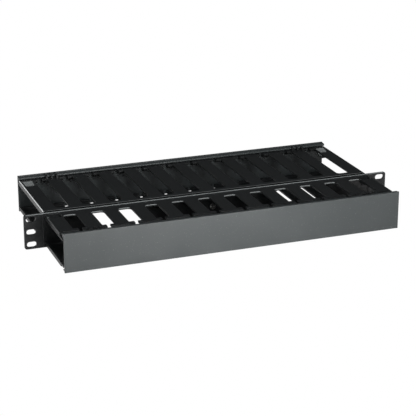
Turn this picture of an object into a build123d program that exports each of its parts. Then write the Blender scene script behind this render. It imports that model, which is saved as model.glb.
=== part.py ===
from build123d import *
import math
import os

os.makedirs("parts", exist_ok=True)

# Horizontal cable manager for a 19-inch rack, one rack unit tall, with a finger duct on both sides.
# X runs across the rack, +Y points into the rack and +Z up, all in millimetres.
# The origin is the middle of the ears' rear face, the plane that meets the rack's rails.
# Depths are measured from that plane: outwards in front (way = -1) and inwards behind (way = +1).

# Mounting ears, to the rack standard
panel_width = 482.6
panel_height = 43.6
panel_corner_radius = 3.0
rack_slot_inset = 8.75
rack_slot_spacing_z = 15.875
rack_slot_length = 12.0
rack_slot_width = 6.8
ear_width = 25.8

# Moulded ducts
duct_height = 43.0
wall = 2.4
back_outer_radius = 1.2
back_inner_radius = 2.0
side_outer_radius = 2.4
side_inner_radius = 0.8
side_return_depth = 6.5
groove_between_ducts = 3.2

# Slots between the fingers
slot_count = 12
slot_width = 17.2
end_finger_width = 18.25
slot_root_radius = 4.5
slot_tip_chamfer = 2.0
notch_width = 4.8
front_slot_root = 16.0
front_slot_length = 48.5
rear_slot_root = 13.5
rear_slot_length = 111.5
rear_lower_slot_width = 22.4
rear_lower_end_finger_width = 22.5
tip_plate_depth = 6.0

# Fingertips: the plate steps inwards and ends in a rounded nose behind the cover
nose_drop = 3.8
nose_step_run = 2.5
front_nose_length = 15.0
rear_nose_length = 3.5
nose_chamfer = 0.8

# Pass-through openings from the front duct to the rear one
opening_width = 75.0
opening_height = 32.0
opening_corner_radius = 8.0
opening_to_duct_end = 93.0

# Covers
cover_end_gap = 0.2
cover_height = 48.0
cover_lift = 1.5
cover_thickness = 2.0
cover_to_nose = 3.0
ridge_overlap = 0.5

# Upper ridge of a cover, with the hinge rod along its crest
hinge_rod_radius = 1.5
hinge_reach = 4.7
hinge_edge_inset = 2.5
hinge_outer_flank = 0.8
hinge_inner_flank = 6.5

# Lower ridge of a cover, which snaps in under the fingertips
latch_radius = 0.8
latch_reach = 4.0
latch_edge_inset = 2.4
latch_outer_flank = 1.4
latch_inner_flank = 5.5

# Hinge hooks on the fingertips, three in a row near each end
hook_count = 3
hook_pitch = 6.7
hook_offset = 1.5
hook_thickness = 2.2
hook_clearance = 0.3
hook_ring_wall = 1.6
hook_ring_sides = 12
hook_mouth_width = 2.4
hook_mouth_angle = 35.0
front_hook_run = 11.8
rear_hook_run = 8.3
hook_back_drop = 2.0
hook_side_clearance = 0.6

# Ramped windows in the upper end fingers
window_width = 14.0
window_edge = 3.0
front_window_root = 6.0
front_window_length = 15.0
rear_window_length = 26.0
ramp_drop = 6.0
ramp_thickness = 1.5

# Rib beside each duct end, on the front of the ears
ear_rib_width = 1.4
ear_rib_height = 0.9
ear_rib_gap = 1.2

# Screws that hold the rear duct to the front one
screw_to_duct_end = 22.5
screw_z = 4.0
screw_radius = 1.95
screw_hole_clearance = 0.25
screw_head_radius = 4.0
screw_head_height = 2.6
screw_head_chamfer = 0.9
screw_tail = 1.5
cross_width = 0.9
cross_length = 4.4
cross_depth = 1.5
nut_across_flats = 7.0
nut_thickness = 3.2
nut_thread_clearance = 0.05
pad_size = 11.0
tab_width = 2.6
tab_height = 3.0
tab_inset = 2.3

# Sizes worked out from the ones above
duct_width = panel_width - 2 * ear_width
half_width = duct_width / 2
half_height = duct_height / 2
rack_slot_spacing_x = panel_width - 2 * rack_slot_inset
finger_pitch = (duct_width - 2 * end_finger_width - slot_width) / (slot_count - 1)
front_plate_end = front_slot_root + front_slot_length + tip_plate_depth
rear_plate_end = rear_slot_root + rear_slot_length + tip_plate_depth
front_nose_end = front_plate_end + front_nose_length
rear_nose_end = rear_plate_end + rear_nose_length
cover_width = duct_width - 2 * cover_end_gap
cover_top = cover_height / 2 + cover_lift
cover_bottom = cover_top - cover_height
hinge_z = cover_top - hinge_edge_inset
latch_z = cover_bottom + latch_edge_inset
hook_socket_radius = hinge_rod_radius + hook_clearance
hook_ring_radius = hook_socket_radius + hook_ring_wall
opening_centre_x = half_width - opening_to_duct_end
screw_x = half_width - screw_to_duct_end
screw_places = [(x, screw_z) for x in (-screw_x, 0, screw_x)]
slot_places = [finger_pitch * (n - (slot_count - 1) / 2) for n in range(slot_count)]
finger_places = [finger_pitch * (n - slot_count / 2 + 1) for n in range(slot_count - 1)]
hook_centre_x = finger_places[-1] + hook_offset
hook_places = [
    side * hook_centre_x + hook_pitch * (n - (hook_count - 1) / 2)
    for side in (-1, 1)
    for n in range(hook_count)
]


def side_view(way, x=0.0):
    """A plane seen from the side: its first axis is depth from the ears, its second is height."""
    return Plane(origin=(x, 0, 0), x_dir=(0, way, 0), z_dir=(way, 0, 0))


def end_view(way, depth):
    """A plane across the duct, at a depth from the ears, that faces away from them."""
    return Plane(origin=(0, way * depth, 0), x_dir=(1, 0, 0), z_dir=(0, way, 0))


def make_duct(
    way, back_face, slot_root, slot_length, upper, lower, plate_end, nose_end, window, hook_run
):
    """One duct: a channel of fingers that opens away from the ears, with its back wall at back_face."""
    nose_top = half_height - nose_drop
    step_slant = math.atan2(nose_drop, nose_step_run)
    step_shift = wall * math.tan(step_slant / 2)

    with BuildPart() as duct:
        # The channel's section: back wall, plate, step and nose, the same above and below
        with BuildSketch(side_view(way)):
            with BuildLine():
                Polyline(
                    (back_face, 0),
                    (back_face, half_height),
                    (plate_end, half_height),
                    (plate_end + nose_step_run, nose_top),
                    (nose_end - nose_chamfer, nose_top),
                    (nose_end, nose_top - nose_chamfer),
                    (nose_end, nose_top - wall + nose_chamfer),
                    (nose_end - nose_chamfer, nose_top - wall),
                    (plate_end + nose_step_run - step_shift, nose_top - wall),
                    (plate_end - step_shift, half_height - wall),
                    (back_face + wall, half_height - wall),
                    (back_face + wall, 0),
                    close=True,
                )
            make_face()
            outer_bend = vertices().sort_by_distance((back_face, half_height, 0))[0]
            fillet(outer_bend, radius=back_outer_radius)
            inner_bend = vertices().sort_by_distance((back_face + wall, half_height - wall, 0))[0]
            fillet(inner_bend, radius=back_inner_radius)
            mirror(about=Plane.XZ)
        extrude(amount=half_width, both=True)

        # The end fingers curl over into short side returns
        with BuildSketch(end_view(way, back_face)):
            RectangleRounded(duct_width, duct_height, side_outer_radius)
            RectangleRounded(
                duct_width - 2 * wall,
                duct_height - 2 * wall,
                side_inner_radius,
                mode=Mode.SUBTRACT,
            )
            Rectangle(duct_width, duct_height - 2 * side_return_depth, mode=Mode.SUBTRACT)
            Rectangle(duct_width - 2 * side_return_depth, duct_height, mode=Mode.SUBTRACT)
        extrude(amount=plate_end - back_face)

        # Nothing stands outside the rounded outline of the duct
        with BuildSketch(end_view(way, back_face)):
            RectangleRounded(duct_width, duct_height, side_outer_radius)
        extrude(amount=nose_end - back_face, mode=Mode.INTERSECT)

        # Slots between the fingers above and below, with a narrow notch out through the fingertips
        slot_middle = slot_root + slot_length / 2
        notch_start = slot_root + slot_length - slot_tip_chamfer
        notch_length = nose_end + wall - notch_start
        for up, (width, end_width) in ((1, upper), (-1, lower)):
            end_edge = half_width - end_width
            with BuildSketch(Plane.XY):
                for x in slot_places:
                    left = max(x - width / 2, -end_edge)
                    right = min(x + width / 2, end_edge)
                    with Locations(((left + right) / 2, way * slot_middle)):
                        Rectangle(right - left, slot_length)
                roots = [v for v in vertices() if abs(v.Y) < slot_middle]
                tips = [v for v in vertices() if abs(v.Y) > slot_middle]
                fillet(roots, radius=slot_root_radius)
                chamfer(tips, length=slot_tip_chamfer)
                with Locations(*[(x, way * (notch_start + notch_length / 2)) for x in slot_places]):
                    Rectangle(notch_width, notch_length)
            extrude(amount=up * duct_height, mode=Mode.SUBTRACT)

        # Windows in the upper end fingers, each with a ramp that leads down into the duct
        near_end, far_end = window
        window_x = half_width - window_edge - window_width / 2
        window_y = way * (near_end + far_end) / 2
        with BuildSketch(Plane.XY):
            with Locations((-window_x, window_y), (window_x, window_y)):
                Rectangle(window_width, far_end - near_end)
        extrude(amount=duct_height, mode=Mode.SUBTRACT)
        high_end, low_end = (near_end, far_end) if way < 0 else (far_end, near_end)
        lip = wall if way > 0 else -wall
        high = half_height - wall
        low = high - ramp_drop
        for side in (-1, 1):
            with BuildSketch(side_view(way, side * window_x)):
                with BuildLine():
                    Polyline(
                        (high_end + lip, high),
                        (high_end, high),
                        (low_end, low),
                        (low_end, low + ramp_thickness),
                        (high_end, high + ramp_thickness),
                        (high_end + lip, high + ramp_thickness),
                        close=True,
                    )
                make_face()
            extrude(amount=window_width / 2, both=True)

        # Openings in the back wall, for cables from one duct to the other
        with BuildSketch(end_view(way, back_face)):
            with Locations((-opening_centre_x, 0), (opening_centre_x, 0)):
                RectangleRounded(opening_width, opening_height, opening_corner_radius)
        extrude(amount=wall, mode=Mode.SUBTRACT)

        # Holes for the screws
        with BuildSketch(end_view(way, back_face)):
            with Locations(*[(x, -way * z) for x, z in screw_places]):
                Circle(screw_radius + screw_hole_clearance)
        extrude(amount=wall, mode=Mode.SUBTRACT)

        # Hinge hooks on the upper fingertips: each ring is open towards the cover
        hinge_depth = nose_end + cover_to_nose - hinge_reach
        hook_foot = nose_top - wall / 2
        for x in hook_places:
            with BuildSketch(side_view(way, x)):
                with BuildLine():
                    Polyline(
                        (hinge_depth - hook_run, hook_foot),
                        (hinge_depth - hook_run, hinge_z),
                        (hinge_depth - hook_run + hook_back_drop, hinge_z + hook_back_drop),
                        (hinge_depth, hinge_z + hook_back_drop),
                        (hinge_depth + hook_socket_radius, hinge_z - hook_ring_radius),
                        (hinge_depth, hook_foot),
                        close=True,
                    )
                make_face()
                with Locations((hinge_depth, hinge_z)):
                    RegularPolygon(hook_ring_radius, hook_ring_sides)
                    Circle(hook_socket_radius, mode=Mode.SUBTRACT)
                    Rectangle(
                        hook_ring_radius + wall,
                        hook_mouth_width,
                        rotation=hook_mouth_angle,
                        align=(Align.MIN, Align.CENTER),
                        mode=Mode.SUBTRACT,
                    )
            extrude(amount=hook_thickness / 2, both=True)
    return duct


# Front duct, moulded in one with the mounting ears
front_channel = make_duct(
    -1,
    0.0,
    front_slot_root,
    front_slot_length,
    (slot_width, end_finger_width),
    (slot_width, end_finger_width),
    front_plate_end,
    front_nose_end,
    (front_window_root, front_window_root + front_window_length),
    front_hook_run,
)
ear_start = half_width - side_return_depth
with BuildPart() as front_duct:
    add(front_channel.part)

    # Ear plates at both ends, square at the duct and rounded at the rack
    with BuildSketch(end_view(-1, 0.0)):
        RectangleRounded(panel_width, panel_height, panel_corner_radius)
        Rectangle(2 * ear_start, panel_height, mode=Mode.SUBTRACT)
    extrude(amount=wall)

    # Rack slots
    with BuildSketch(end_view(-1, 0.0)):
        with GridLocations(rack_slot_spacing_x, rack_slot_spacing_z, 2, 3):
            SlotOverall(rack_slot_length, rack_slot_width)
    extrude(amount=wall, mode=Mode.SUBTRACT)

    # Upright rib on each ear beside the duct
    rib_x = half_width + ear_rib_gap + ear_rib_width / 2
    with BuildSketch(end_view(-1, wall)):
        with Locations((-rib_x, 0), (rib_x, 0)):
            Rectangle(ear_rib_width, duct_height - 2 * panel_corner_radius)
    extrude(amount=ear_rib_height)
front_duct.part.label = "front_duct"
export_step(front_duct.part, "parts/front_duct.step")

# Rear duct, screwed to the back of the front one
rear_back_face = groove_between_ducts
rear_channel = make_duct(
    1,
    rear_back_face,
    rear_slot_root,
    rear_slot_length,
    (slot_width, end_finger_width),
    (rear_lower_slot_width, rear_lower_end_finger_width),
    rear_plate_end,
    rear_nose_end,
    (rear_plate_end - rear_window_length, rear_plate_end - wall),
    rear_hook_run,
)
with BuildPart() as rear_duct:
    add(rear_channel.part)

    # Tabs in the groove, behind each finger
    tab_z = half_height - tab_inset - tab_height / 2
    with BuildSketch(end_view(1, 0.0)):
        with Locations(*[(x, side * tab_z) for x in finger_places for side in (-1, 1)]):
            Rectangle(tab_width, tab_height)
    extrude(amount=groove_between_ducts + wall)

    # Pads round the screws, which hold the two ducts apart
    with BuildSketch(end_view(1, 0.0)):
        with Locations(*[(x, -z) for x, z in screw_places]):
            Rectangle(pad_size, pad_size)
            Circle(screw_radius + screw_hole_clearance, mode=Mode.SUBTRACT)
    extrude(amount=groove_between_ducts)
rear_duct.part.label = "rear_duct"
export_step(rear_duct.part, "parts/rear_duct.step")


def make_cover(way, nose_end):
    """A cover: a flat strip with a ridge along both long edges, and a hinge rod in the upper one."""
    inner = nose_end + cover_to_nose
    hinge_depth = inner - hinge_reach
    latch_depth = inner - latch_reach
    with BuildPart() as cover:
        with BuildSketch(side_view(way)):
            with Locations((inner + cover_thickness / 2, cover_lift)):
                Rectangle(cover_thickness, cover_height)
            with BuildLine():
                Polyline(
                    (inner + ridge_overlap, cover_top - hinge_outer_flank),
                    (hinge_depth, hinge_z + hinge_rod_radius),
                    (hinge_depth, hinge_z - hinge_rod_radius),
                    (inner + ridge_overlap, cover_top - hinge_inner_flank),
                    close=True,
                )
            make_face()
            with Locations((hinge_depth, hinge_z)):
                Circle(hinge_rod_radius)
            with BuildLine():
                Polyline(
                    (inner + ridge_overlap, cover_bottom + latch_outer_flank),
                    (latch_depth, latch_z - latch_radius),
                    (latch_depth, latch_z + latch_radius),
                    (inner + ridge_overlap, cover_bottom + latch_inner_flank),
                    close=True,
                )
            make_face()
            with Locations((latch_depth, latch_z)):
                Circle(latch_radius)
        extrude(amount=cover_width / 2, both=True)

        # The upper ridge is cut away where the hooks reach in, and the rod runs on through the gaps
        gap_width = hook_thickness + 2 * hook_side_clearance
        ridge_depth = hinge_reach + hinge_rod_radius
        for x in hook_places:
            with BuildSketch(side_view(way, x)):
                with Locations((inner, hinge_z)):
                    Rectangle(ridge_depth, 2 * hinge_inner_flank, align=(Align.MAX, Align.CENTER))
            extrude(amount=gap_width / 2, both=True, mode=Mode.SUBTRACT)
        with BuildSketch(side_view(way)):
            with Locations((hinge_depth, hinge_z)):
                Circle(hinge_rod_radius)
        extrude(amount=cover_width / 2, both=True)
    return cover


front_cover = make_cover(-1, front_nose_end)
front_cover.part.label = "front_cover"
export_step(front_cover.part, "parts/front_cover.step")

rear_cover = make_cover(1, rear_nose_end)
rear_cover.part.label = "rear_cover"
export_step(rear_cover.part, "parts/rear_cover.step")

# Pan-head screws with a cross recess, from the front duct through to the rear one
head_face = wall
nut_face = rear_back_face + wall
shank_length = head_face + nut_face + nut_thickness + screw_tail
with BuildPart() as duct_screws:
    with BuildSketch(end_view(-1, head_face)):
        with Locations(*screw_places):
            Circle(screw_head_radius)
    extrude(amount=screw_head_height)
    rims = duct_screws.edges().filter_by(GeomType.CIRCLE).group_by(Axis.Y)[0]
    chamfer(rims, length=screw_head_chamfer)
    with BuildSketch(end_view(-1, head_face + screw_head_height - cross_depth)):
        with Locations(*screw_places):
            Rectangle(cross_length, cross_width)
            Rectangle(cross_width, cross_length)
    extrude(amount=cross_depth, mode=Mode.SUBTRACT)
    with BuildSketch(end_view(1, -head_face)):
        with Locations(*[(x, -z) for x, z in screw_places]):
            Circle(screw_radius)
    extrude(amount=shank_length)
duct_screws.part.label = "duct_screws"
export_step(duct_screws.part, "parts/duct_screws.step")

# Hexagon nuts inside the rear duct
with BuildPart() as duct_nuts:
    with BuildSketch(end_view(1, nut_face)):
        with Locations(*[(x, -z) for x, z in screw_places]):
            RegularPolygon(nut_across_flats / 2, 6, major_radius=False)
            Circle(screw_radius + nut_thread_clearance, mode=Mode.SUBTRACT)
    extrude(amount=nut_thickness)
duct_nuts.part.label = "duct_nuts"
export_step(duct_nuts.part, "parts/duct_nuts.step")
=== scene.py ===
# %% [markdown]
# A horizontal cable manager for a 19-inch rack. Two black finger ducts, one in front of a mounting
# panel and one behind it, guide the patch cables, and a flat cover on hooks closes each duct.
# The solids come from a CAD model and are already in place, so the first step only loads them.
# All sizes are in metres: X runs across the rack, Y into it and Z up.

# %% Load the frame
import bpy
import bmesh
import math
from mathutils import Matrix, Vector


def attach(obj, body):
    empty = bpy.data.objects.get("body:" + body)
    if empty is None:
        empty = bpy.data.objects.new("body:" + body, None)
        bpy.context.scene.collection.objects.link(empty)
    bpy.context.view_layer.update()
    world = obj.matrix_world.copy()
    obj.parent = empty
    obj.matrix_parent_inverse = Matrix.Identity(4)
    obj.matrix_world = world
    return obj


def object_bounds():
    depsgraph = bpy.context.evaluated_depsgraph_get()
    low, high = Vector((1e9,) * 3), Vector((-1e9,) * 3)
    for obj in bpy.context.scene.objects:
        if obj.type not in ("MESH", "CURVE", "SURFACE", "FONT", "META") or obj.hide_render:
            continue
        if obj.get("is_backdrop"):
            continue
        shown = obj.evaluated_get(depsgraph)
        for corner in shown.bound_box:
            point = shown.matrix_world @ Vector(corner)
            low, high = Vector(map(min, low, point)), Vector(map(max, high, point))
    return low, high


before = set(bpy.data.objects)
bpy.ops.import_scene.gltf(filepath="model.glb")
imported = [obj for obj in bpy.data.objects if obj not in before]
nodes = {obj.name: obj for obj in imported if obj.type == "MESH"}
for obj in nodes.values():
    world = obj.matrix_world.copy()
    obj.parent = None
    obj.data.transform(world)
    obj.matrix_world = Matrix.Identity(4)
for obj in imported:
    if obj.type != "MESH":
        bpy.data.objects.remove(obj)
cad_low, cad_high = (corner.copy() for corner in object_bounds())
print("CAD box", tuple(round(v, 4) for v in cad_low), tuple(round(v, 4) for v in cad_high))

# %% [markdown]
# The mounting panel's top edge ends in a low bead, a lip that stiffens a long thin moulding.
# Its sloping front catches the light as one pale line in front of the dark groove between the
# ducts. It could be bevelled out of a long box, but its two slopes differ. So the outline of its
# end is drawn as one small face and extruded over the whole width.

# %% Bead along the panel's top edge
bead_half_length = 0.2384
bead_foot, bead_crest = 0.0213, 0.02215
bead_profile = [
    (-0.0032, bead_foot),
    (-0.0024, bead_crest),
    (-0.0016, bead_crest),
    (-0.0012, bead_foot),
]


def bead(name, half_length, profile, body):
    """A straight bead along X that moves with a body: its profile is a list of (Y, Z) points."""
    bm = bmesh.new()
    end = [bm.verts.new((-half_length, y, z)) for y, z in profile]
    face = bm.faces.new(end)
    swept = bmesh.ops.extrude_face_region(bm, geom=[face])
    moved = [part for part in swept["geom"] if isinstance(part, bmesh.types.BMVert)]
    bmesh.ops.translate(bm, vec=(2 * half_length, 0.0, 0.0), verts=moved)
    bmesh.ops.recalc_face_normals(bm, faces=bm.faces)
    mesh = bpy.data.meshes.new(name)
    bm.to_mesh(mesh)
    bm.free()
    piece = bpy.data.objects.new(name, mesh)
    bpy.context.scene.collection.objects.link(piece)
    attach(piece, body)
    print(name, len(mesh.polygons), "faces")
    return piece


edge_bead = bead("panel_edge_bead", bead_half_length, bead_profile, "ducts")
print("bead ends", round(cad_high.x - bead_half_length, 4), "from the ears' ends")

# %% [markdown]
# A material is a small network of nodes. Each node could be made, set and linked by hand, in
# three or four lines apiece. A few helpers keep that short: one starts a material, and the others
# add a noise, a colour ramp, or one colour laid over another.


# %% Helpers for materials
def node_material(name):
    """A new material with its shader, and a helper that adds nodes and links to it."""
    mat = bpy.data.materials.new(name)
    mat.use_nodes = True
    tree = mat.node_tree
    shader = tree.nodes["Principled BSDF"]

    def add(kind, inputs=None, **settings):
        made = tree.nodes.new(kind)
        for key, value in settings.items():
            setattr(made, key, value)
        for key, value in (inputs or {}).items():
            if isinstance(value, bpy.types.NodeSocket):
                tree.links.new(value, made.inputs[key])
            else:
                made.inputs[key].default_value = value
        return made

    return mat, shader, tree, add


def noise(add, coords, scale, detail):
    """A cloudy pattern from 0 to 1. A larger scale makes smaller clouds."""
    made = add("ShaderNodeTexNoise", {"Vector": coords, "Scale": scale, "Detail": detail})
    return made.outputs["Fac"]


def ramp(add, factor, stops):
    """A colour ramp with two stops, each a place and a colour."""
    made = add("ShaderNodeValToRGB", {"Fac": factor})
    for element, (place, colour) in zip(made.color_ramp.elements, stops):
        element.position = place
        element.color = (*colour, 1.0)
    return made.outputs["Color"]


def laid_over(add, factor, under, over):
    """One colour over another: a factor of 0 shows the lower one, and 1 the upper one."""
    made = add("ShaderNodeMix", {"Factor": factor, "A": under, "B": over}, data_type="RGBA")
    return made.outputs["Result"]


print("helpers", [helper.__name__ for helper in (node_material, noise, ramp, laid_over)])

# %% [markdown]
# On the real object the groove between the two ducts is so narrow and deep that it lies in shade
# and looks black, while a few thin edges catch the light and look pale: the groove's lip, the rims
# where the slots begin, the rear duct's left corner, and the ramps in the rear duct's windows.
# Lamps alone could draw them, but these edges are about as thin as one pixel of the picture, so
# the groove's shade is painted black and the edges' highlights are painted pale, each by place. In
# the groove the sheen is turned off too, so no reflection shows in the painted shade.
# A place is a box, written as its ranges of X, of Y and of Z.

# %% Painted shade and highlights by place
everywhere = (-1.0, 1.0)
rim_heights = (0.0203, 0.02145)
ramp_depths, ramp_heights = (0.107, 0.1275), (0.0128, 0.0207)

# The places of the painted shade and of the painted highlights.
groove = (everywhere, (0.0001, 0.0050), everywhere)
groove_lip = (everywhere, (0.0050, 0.0062), (0.0209, 1.0))
front_slot_rims = (everywhere, (-0.0172, -0.0155), rim_heights)
rear_slot_rims = (everywhere, (0.0128, 0.0145), rim_heights)
left_corner = ((-1.0, -0.21445), (0.0062, 0.137), (0.0202, 0.0211))
left_window_ramp = ((-0.2123, -0.1987), ramp_depths, ramp_heights)
right_window_ramp = ((0.1987, 0.2123), ramp_depths, ramp_heights)

# The groove's colour is painted shade; the other three are painted highlights, far paler than the
# plastic itself.
groove_painted_shade = (0.0005, 0.0005, 0.0005, 1.0)
rim_painted_highlight = (0.12, 0.128, 0.128, 1.0)
corner_painted_highlight = (0.55, 0.56, 0.56, 1.0)
ramp_painted_highlight = (0.13, 0.138, 0.138, 1.0)

# Each painted highlight, with the place it is painted on.
painted_highlight_places = (
    (groove_lip, rim_painted_highlight),
    (front_slot_rims, rim_painted_highlight),
    (rear_slot_rims, rim_painted_highlight),
    (left_corner, corner_painted_highlight),
    (left_window_ramp, ramp_painted_highlight),
    (right_window_ramp, ramp_painted_highlight),
)
duct_sheen = 0.4


def maths(add, operation, first, second):
    """The result of one sum on two values."""
    return add("ShaderNodeMath", {0: first, 1: second}, operation=operation).outputs["Value"]


def inside(add, axes, place):
    """1 inside a place, and 0 outside it."""
    mask = 1.0
    for axis, (low, high) in zip("XYZ", place):
        above = maths(add, "GREATER_THAN", axes[axis], low)
        below = maths(add, "LESS_THAN", axes[axis], high)
        mask = maths(add, "MULTIPLY", mask, maths(add, "MULTIPLY", above, below))
    return mask


def painted_light_tones(add, coords, colour):
    """The painted shade and highlights by place over a colour, and the sheen, which is none in the
    groove's painted shade.
    """
    axes = add("ShaderNodeSeparateXYZ", {"Vector": coords}).outputs
    # The groove is painted black as shade first, then each pale place gets its painted highlight.
    in_painted_shade = inside(add, axes, groove)
    colour = laid_over(add, in_painted_shade, colour, groove_painted_shade)
    for place, tone in painted_highlight_places:
        colour = laid_over(add, inside(add, axes, place), colour, tone)
    sheen = add("ShaderNodeMapRange", {"Value": in_painted_shade, "To Min": duct_sheen, "To Max": 0.0})
    return colour, sheen.outputs["Result"]


print("places with a tone of their own", 1 + len(painted_highlight_places))

# %% [markdown]
# The ducts are a black satin moulding with a faintly uneven gloss. The covers are greyer, with a
# stronger grain and more pale dust in it. Both could be one flat colour, but plastic that large
# would look like paper, so a slow noise moves the tone and the gloss and a fine one makes the
# grain. The CAD solids have knife-sharp edges. A bevel on their long thin triangles throws spikes,
# so a bevel node only rounds how each edge takes the light and leaves the solids as they are.

# %% Black plastics
cloud_scale, grain_scale, dust_scale = 28.0, 2600.0, 900.0
cloud_start, cloud_end = 0.3, 0.7
dust_start, dust_end = 0.7, 0.78
dust_colour = (0.25, 0.25, 0.24, 1.0)
no_dust = (0.0, 0.0, 0.0)
smoother, rougher = 0.04, 0.05
edge_radius = 0.0004
grain_depth = 0.0001


def black_plastic(name, dark, light, rough, grain, speck, with_painted_light=False):
    """Black plastic: two close tones, uneven gloss, a fine grain and a few pale specks."""
    mat, shader, tree, add = node_material(name)
    coords = add("ShaderNodeTexCoord").outputs["Object"]
    cloud = noise(add, coords, cloud_scale, detail=5.0)
    fine = noise(add, coords, grain_scale, detail=2.0)
    dust = noise(add, coords, dust_scale, detail=1.0)
    tone = ramp(add, cloud, [(cloud_start, dark), (cloud_end, light)])
    specks = ramp(add, dust, [(dust_start, no_dust), (dust_end, (speck, speck, speck))])
    colour = laid_over(add, specks, tone, dust_colour)
    # With painted light on, the groove's painted shade and the edges' painted highlights go over
    # the plastic's colour.
    if with_painted_light:
        colour, sheen = painted_light_tones(add, coords, colour)
        tree.links.new(sheen, shader.inputs["Specular IOR Level"])
    tree.links.new(colour, shader.inputs["Base Color"])
    clouds = {"Value": cloud, "From Min": cloud_start, "From Max": cloud_end}
    spread = {"To Min": rough - smoother, "To Max": rough + rougher}
    gloss = add("ShaderNodeMapRange", {**clouds, **spread})
    tree.links.new(gloss.outputs["Result"], shader.inputs["Roughness"])
    rounded = add("ShaderNodeBevel", {"Radius": edge_radius}, samples=6).outputs["Normal"]
    surface = {"Height": fine, "Strength": grain, "Distance": grain_depth, "Normal": rounded}
    bump = add("ShaderNodeBump", surface)
    tree.links.new(bump.outputs["Normal"], shader.inputs["Normal"])
    return mat


duct_plastic = black_plastic(
    "duct_plastic",
    dark=(0.0045, 0.005, 0.0052),
    light=(0.0065, 0.0072, 0.0075),
    rough=0.34,
    grain=0.25,
    speck=0.1,
    with_painted_light=True,
)
# The bead's plastic is the same black plastic painted far paler: a painted highlight for the
# bright line along the panel's edge.
bead_highlight_plastic = black_plastic(
    "bead_highlight_plastic",
    dark=(0.085, 0.092, 0.093),
    light=(0.095, 0.102, 0.103),
    rough=0.3,
    grain=0.1,
    speck=0.05,
)
cover_plastic = black_plastic(
    "cover_plastic",
    dark=(0.02, 0.0235, 0.024),
    light=(0.023, 0.0265, 0.027),
    rough=0.42,
    grain=0.35,
    speck=0.25,
)
print("plastics", [mat.name for mat in (duct_plastic, bead_highlight_plastic, cover_plastic)])

# %% [markdown]
# Screws and nuts hold the two ducts together. They are plated steel that has gone dull, so the
# metal is a dark grey. A plain metal would reflect the room like a mirror, so a small noise makes
# its tone and its gloss uneven.

# %% Plated steel
stain_scale = 350.0
dark_steel, light_steel = (0.2, 0.2, 0.195), (0.3, 0.3, 0.29)
smooth_steel, dull_steel = 0.22, 0.42


def plated_steel(name):
    """Zinc-plated steel, dulled to a dark grey, with an uneven gloss."""
    mat, shader, tree, add = node_material(name)
    coords = add("ShaderNodeTexCoord").outputs["Object"]
    stains = noise(add, coords, stain_scale, detail=4.0)
    tone = ramp(add, stains, [(0.35, dark_steel), (0.65, light_steel)])
    tree.links.new(tone, shader.inputs["Base Color"])
    shader.inputs["Metallic"].default_value = 1.0
    spread = {"To Min": smooth_steel, "To Max": dull_steel}
    gloss = add("ShaderNodeMapRange", {"Value": stains, **spread})
    tree.links.new(gloss.outputs["Result"], shader.inputs["Roughness"])
    return mat


screw_steel = plated_steel("screw_steel")
print("metal", screw_steel.name)

# %% [markdown]
# Each CAD node is one piece of the real object, made of one material. The materials could be set
# face by face, but here every slot of a node simply gets the material of its piece. The bead gets
# a plastic painted far paler than the ducts', a painted highlight, because on the real object it
# shows as a bright line.


# %% Dress the pieces
def dress(obj, mat):
    """Gives the whole object one material."""
    if not obj.material_slots:
        obj.data.materials.append(mat)
    for place in obj.material_slots:
        place.material = mat


for node, mat in (
    ("front_duct", duct_plastic),
    ("rear_duct", duct_plastic),
    ("front_cover", cover_plastic),
    ("rear_cover", cover_plastic),
    ("duct_screws", screw_steel),
    ("duct_nuts", screw_steel),
):
    dress(nodes[node], mat)
dress(edge_bead, bead_highlight_plastic)
print("materials", [m.name for m in bpy.data.materials if m.users])

# %% [markdown]
# The part stands on a plain floor in a studio whose background is pure white. A floor that is
# really that white would light the black plastic from below and wash it out. So the floor and the
# sky show white to the camera, and a calmer grey to everything else.

# %% Floor and sky
floor_half_side = 3.0
floor_grey = (0.8, 0.8, 0.8, 1.0)
floor_roughness = 0.7
sky_grey, sky_strength = (0.55, 0.58, 0.6, 1.0), 0.1
pure_white = (1.0, 1.0, 1.0, 1.0)


def to_camera(tree, seen, other):
    """Mixes two shaders: the first is what the camera sees directly, the second the rest."""
    path = tree.nodes.new("ShaderNodeLightPath")
    mix = tree.nodes.new("ShaderNodeMixShader")
    tree.links.new(path.outputs["Is Camera Ray"], mix.inputs["Fac"])
    tree.links.new(other.outputs[0], mix.inputs[1])
    tree.links.new(seen.outputs[0], mix.inputs[2])
    return mix.outputs[0]


def square_floor(half_side, height):
    """A level square at a height, for the part to stand on."""
    bm = bmesh.new()
    bmesh.ops.create_grid(bm, x_segments=1, y_segments=1, size=half_side)
    bmesh.ops.translate(bm, vec=(0.0, 0.0, height), verts=bm.verts)
    mesh = bpy.data.meshes.new("floor")
    bm.to_mesh(mesh)
    bm.free()
    return bpy.data.objects.new("floor", mesh)


floor = square_floor(floor_half_side, cad_low.z)
bpy.context.scene.collection.objects.link(floor)
floor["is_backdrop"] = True
floor_mat, floor_shader, floor_tree, add = node_material("floor")
floor_shader.inputs["Base Color"].default_value = floor_grey
floor_shader.inputs["Roughness"].default_value = floor_roughness
white = add("ShaderNodeEmission", {"Color": pure_white, "Strength": 1.0})
floor_end = floor_tree.nodes["Material Output"].inputs["Surface"]
floor_tree.links.new(to_camera(floor_tree, white, floor_shader), floor_end)
dress(floor, floor_mat)

scene = bpy.context.scene
world = bpy.data.worlds.new("studio")
world.use_nodes = True
scene.world = world
sky = world.node_tree
grey = sky.nodes["Background"]
grey.inputs["Color"].default_value = sky_grey
grey.inputs["Strength"].default_value = sky_strength
bright = sky.nodes.new("ShaderNodeBackground")
bright.inputs["Color"].default_value = pure_white
sky.links.new(to_camera(sky, bright, grey), sky.nodes["World Output"].inputs["Surface"])
print("floor at", round(cad_low.z, 4), "with sides of", 2 * floor_half_side)

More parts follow.
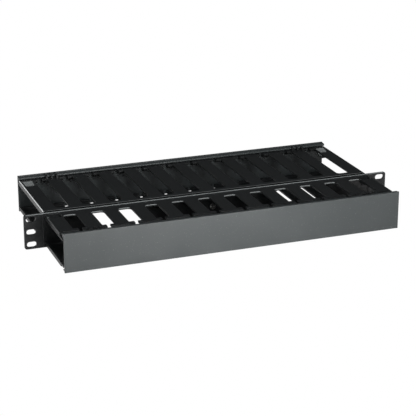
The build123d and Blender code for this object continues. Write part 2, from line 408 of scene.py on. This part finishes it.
# %% [markdown]
# Black plastic shows its form only by what it reflects, so the lamps are large soft boxes. A small
# one stands close to the front cover and fades towards its ends, and the others are far away.
# The slot box shines down through the slots onto the rear cover's inner face. Seen from behind it
# would glare on the finger tops, so it is left out of reflections. Each line of the list holds a
# lamp's name, its place, the point it faces, its width and height, and its power in watts.

# %% Soft boxes
middle = (0.0, 0.0, 0.0)
soft_boxes = (
    ("near_box", (0.01, -0.48, 0.11), (0.01, 0.0, 0.0), (0.32, 0.18), 2.5),
    ("slot_box", (-0.3, -1.7, 1.5), middle, (1.2, 0.8), 58),
    ("back_box", (-2.2, 1.8, 0.5), middle, (1.2, 0.7), 25),
    ("front_box", (-0.2, -2.4, 0.35), middle, (2.0, 0.6), 3),
    ("left_box", (-2.2, -0.3, 0.4), middle, (1.2, 0.7), 14),
    ("top_box", (0.0, -0.6, 2.4), middle, (1.6, 1.0), 9),
)


def soft_box(name, place, target, size, power):
    """A rectangular soft light at a place, turned to face a target."""
    data = bpy.data.lights.new(name, "AREA")
    data.shape = "RECTANGLE"
    data.size, data.size_y = size
    data.energy = power
    lamp = bpy.data.objects.new(name, data)
    lamp.location = place
    lamp.rotation_euler = (Vector(target) - Vector(place)).to_track_quat("-Z", "Y").to_euler()
    lamp.visible_camera = False
    scene.collection.objects.link(lamp)
    return lamp


lamps = {settings[0]: soft_box(*settings) for settings in soft_boxes}
lamps["slot_box"].visible_glossy = False
print("lights", list(lamps))

# %% [markdown]
# The camera looks down at the front from the left. A wide lens close by would spread the front and
# shrink the back, so this is a long lens far away, as for a catalogue picture.

# %% Camera
camera_data = bpy.data.cameras.new("camera")
camera_data.sensor_width = 36.0
camera_data.lens = 123.5
camera_data.clip_start, camera_data.clip_end = 0.05, 30.0
camera = bpy.data.objects.new("camera", camera_data)
camera.location = (-0.5927, -1.5838, 0.6004)
camera.rotation_euler = [math.radians(angle) for angle in (70.48, 0.09, -20.39)]
scene.collection.objects.link(camera)
scene.camera = camera
scene.view_settings.view_transform = "Standard"
print("camera at", [round(v, 3) for v in camera.location], "lens", camera_data.lens)
